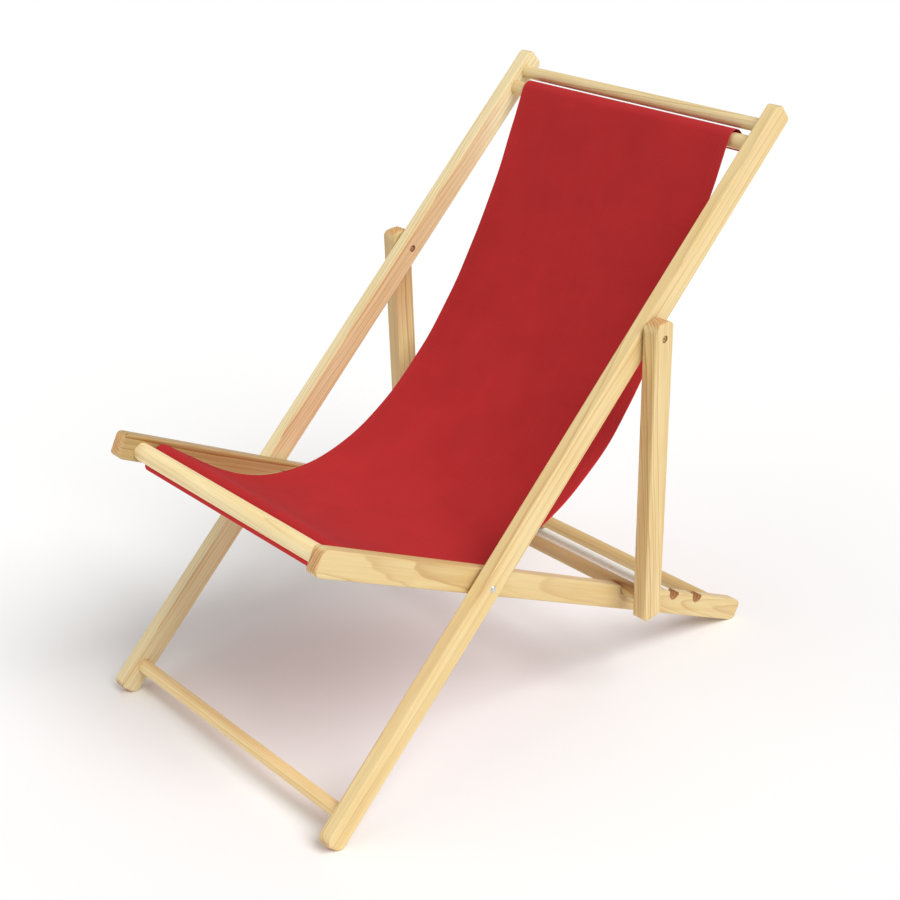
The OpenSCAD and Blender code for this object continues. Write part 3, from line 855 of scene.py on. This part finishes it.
def stitch_lines(cloth):
    """Each row of stitches, as (s, x, off) of the two ends of every stitch, in mm."""
    lines = []
    begins = np.arange(cloth.leave_front + STITCH_MARGIN,
                       cloth.meet_top - STITCH_MARGIN - STITCH_LENGTH, STITCH_PITCH)
    for side in (-1, 1):
        for plain, folded in SIDE_STITCH_HEIGHTS:
            for s in begins:
                ends = []
                for t in (s, s + STITCH_LENGTH):
                    x = side * (cloth.edge(t, side) - STITCH_FROM_EDGE_MM)
                    ends.append((t, x, float(cloth.faces(t, plain, folded))))
                lines.append(ends)
    # across the cloth at both hems, through the tail and the cloth that it lies on
    for s, off in ((TAIL_REACH, -SEAM_STITCH_HEIGHT),
                   (cloth.top_seam - TAIL_REACH / 2, SEAM_STITCH_HEIGHT)):
        for x in np.arange(STITCH_MARGIN - cloth.edge(s, -1),
                           cloth.edge(s, 1) - STITCH_MARGIN - STITCH_LENGTH, STITCH_PITCH):
            lines.append([(s, x, off), (s, x + STITCH_LENGTH, off)])
    return lines


def make_stitching(cloth):
    """Every stitch is a short thread that dips into the cloth at both ends."""
    points, faces = [], []
    for start, end in stitch_lines(cloth):
        across_cloth = start[0] == end[0]
        sign = 1 if start[2] > 0 else -1
        first = len(points)
        for share, fat, rise in STITCH_RINGS:
            s, x, off = (a + (b - a) * share for a, b in zip(start, end))
            for k in range(STITCH_SIDES):
                angle = 2 * math.pi * k / STITCH_SIDES
                wide = STITCH_RADIUS * fat * math.cos(angle)
                high = STITCH_RADIUS * fat * math.sin(angle) + sign * rise * 2 * STITCH_RADIUS
                points.append((s + wide, x, off + high) if across_cloth
                              else (s, x + wide, off + high))
        last = first + (len(STITCH_RINGS) - 1) * STITCH_SIDES
        for ring in range(first, last, STITCH_SIDES):
            for k in range(STITCH_SIDES):
                a, b = ring + k, ring + (k + 1) % STITCH_SIDES
                faces.append((a, b, b + STITCH_SIDES, a + STITCH_SIDES))
        faces.append(tuple(first + k for k in reversed(range(STITCH_SIDES))))
        faces.append(tuple(last + k for k in range(STITCH_SIDES)))
    s, x, off = np.array(points).T
    mesh = smooth_mesh("canvas_stitching", cloth.place(s, x, off), faces)
    mesh.materials.append(sewing_thread())
    return add_object("canvas_stitching", mesh)


def outward(obj):
    """Turns every face of a closed mesh outwards."""
    made = bmesh.new()
    made.from_mesh(obj.data)
    bmesh.ops.recalc_face_normals(made, faces=made.faces)
    made.to_mesh(obj.data)
    made.free()


# ---- giving the CAD pieces their materials ----

ALONG_X = (1.0, 0.0, 0.0)
ALONG_SEAT = in_plane(SEAT_ANGLE)
ALONG_BACK = in_plane(BACK_ANGLE)
ALONG_STRUT = in_plane(STRUT_ANGLE)

# node, grain, pith (mm), drift, ring width (mm), warmth, ring depth, tone (how light the piece is,
# painted shade included)
WOOD_PIECES = [
    ("seat_rail_left", ALONG_SEAT, (-34, 4), (-0.034, 0.008), 4.8, 0.40, 0.75, 0.92),
    # the far seat rail: its low tone, deep rings and extra warmth paint the shade that the canvas
    # casts on it
    ("seat_rail_right", ALONG_SEAT, (34, 60), (0.008, -0.022), 3.6, 0.90, 1.30, 0.66),
    ("back_rail_left", ALONG_BACK, (-36, -52), (-0.020, 0.030), 5.2, 0.20, 0.75, 1.00),
    ("back_rail_right", ALONG_BACK, (52, 38), (0.014, 0.020), 4.6, -1.40, 0.80, 1.02),
    ("prop_strut_left", ALONG_STRUT, (-26, 44), (0.034, -0.050), 4.4, 0.35, 1.05, 0.97),
    ("prop_strut_right", ALONG_STRUT, (40, -36), (0.012, 0.026), 4.2, 0.50, 0.95, 0.88),
    ("front_bar", ALONG_X, (18, 42), (0.018, 0.034), 6.8, -0.90, 0.55, 1.12),
    ("front_canvas_bar", ALONG_X, (30, 50), (0.014, 0.020), 5.4, 0.35, 0.65, 1.00),
    ("rear_crossbar", ALONG_X, (-40, 44), (0.020, 0.016), 4.2, 0.30, 1.00, 0.88),
    ("front_hem_dowel", ALONG_X, (36, 30), (0.014, 0.018), 4.2, 0.35, 0.60, 1.00),
    ("top_bar", ALONG_X, (20, -34), (0.030, -0.034), 5.4, -0.60, 0.75, 0.96),
    ("top_canvas_bar", ALONG_X, (-34, -44), (0.014, 0.020), 5.0, 0.00, 0.75, 0.97),
    ("lower_crossbar", ALONG_X, (-52, 40), (0.010, 0.010), 2.8, 0.00, 1.00, 1.10),
    ("top_hem_dowel", ALONG_X, (30, -36), (0.012, 0.016), 4.2, 0.35, 0.60, 1.00),
    ("prop_bar", ALONG_X, (44, 38), (0.016, 0.020), 4.4, 0.60, 1.00, 0.80),
]

# in mm: the notches' axes behind the main pivot and above the middle of the seat rails, and
# the radii of the notches and of the sunk holes for nuts and bolt heads
NOTCH_COUNT = 4
FIRST_NOTCH = 374.0
NOTCH_STEP = 76.0
NOTCH_RISE = 20.6
NOTCHES = [(FIRST_NOTCH + NOTCH_STEP * i, NOTCH_RISE) for i in range(NOTCH_COUNT)]
NOTCH_RADIUS = 14.4
NUT_HOLE_RADIUS = 5.5
HEAD_HOLE_RADIUS = 5.5
CUTS = {
    "seat_rail": [(tuple(PIVOT + turned(notch, SEAT_ANGLE)[0] * MM), NOTCH_RADIUS)
                  for notch in NOTCHES] + [(tuple(PIVOT), NUT_HOLE_RADIUS)],
    "back_rail": [(tuple(PROP_PIVOT), NUT_HOLE_RADIUS)],
    "prop_strut": [(tuple(PROP_PIVOT), HEAD_HOLE_RADIUS)],
}

BRIGHT_NODES = ["seat_bar_pins", "back_bar_pins", "prop_bar_pins", "frame_pivot_bolts",
                "frame_pivot_spacers", "frame_pivot_nuts", "prop_pivot_spacers",
                "prop_pivot_nuts"]
DARK_NODES = ["prop_pivot_bolts"]


def paint(node, material):
    """Gives a CAD piece its material in every slot."""
    obj = frame["nodes"][node]
    for slot in obj.material_slots:
        slot.material = material
    if not obj.material_slots:
        obj.data.materials.append(material)


make_camera()
make_lights()
make_floor()

for seed, (node, along, *grain) in enumerate(WOOD_PIECES, start=1):
    cuts = CUTS.get(node.rsplit("_", 1)[0], [])
    paint(node, wood(node, along, *grain, cuts, seed))
bright = steel("zinc_plated_steel", clean=linear(212, 211, 207), stained=linear(160, 154, 144),
               smooth=0.28, rough=0.40, stain_from=0.55, metallic=0.75)
dark = steel("aged_steel", clean=linear(200, 166, 108), stained=linear(146, 112, 66),
             smooth=0.42, rough=0.58, stain_from=0.5, metallic=0.45)
for node in BRIGHT_NODES:
    paint(node, bright)
for node in DARK_NODES:
    paint(node, dark)

cloth = Cloth()
canvas = make_canvas(cloth)
stitching = make_stitching(cloth)
for piece in (canvas, stitching):
    outward(piece)
    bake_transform(piece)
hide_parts("canvas_seat", "canvas_back")
